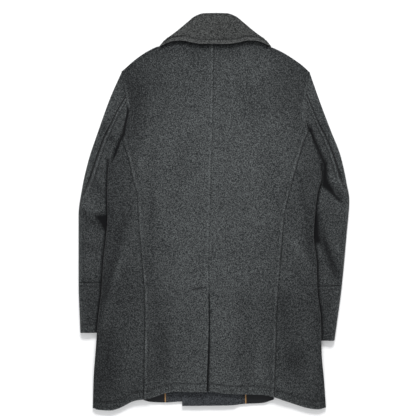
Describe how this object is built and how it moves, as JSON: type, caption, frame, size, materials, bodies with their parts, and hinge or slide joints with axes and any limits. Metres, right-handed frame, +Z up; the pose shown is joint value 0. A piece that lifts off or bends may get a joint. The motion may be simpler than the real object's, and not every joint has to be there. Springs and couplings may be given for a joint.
{
  "type": "pea coat laid flat",
  "caption": "Long double-breasted wool pea coat laid flat with its back up: turned-down collar, centre-back vent, curved side seams, sleeves tucked beside the body.",
  "frame": {"origin": "on the surface that the coat lies on, under the middle of its outline", "axes": "+Z up from the surface, out of the coat's back; +Y from hem to collar; +X to the right as the back is seen"},
  "size_m": [0.6559, 0.9616, 0.0208],
  "materials": {
    "wool": "charcoal melton wool with a fine lighter fleck, matt and slightly felted",
    "lining": "near-black smooth lining",
    "piping": "tan binding",
    "button": "dark satin four-hole button"
  },
  "bodies": {
    "root": {"back_left": "wool", "back_right": "wool", "side_left": "wool", "side_right": "wool", "front_left": "wool", "front_right": "wool", "lapel_left": "wool", "lapel_right": "wool", "collar_fall": "wool", "collar_stand": "wool", "sleeve_upper_left": "wool", "sleeve_under_left": "wool", "cuff_left": "wool", "facing_left": "wool", "piping_left": "piping", "lining_left": "lining", "sleeve_upper_right": "wool", "sleeve_under_right": "wool", "cuff_right": "wool", "facing_right": "wool", "piping_right": "piping", "lining_right": "lining", "button_1": "button", "button_2": "button", "button_3": "button", "button_4": "button", "button_5": "button", "button_6": "button", "button_7": "button", "button_8": "button"}
  },
  "joints": []
}
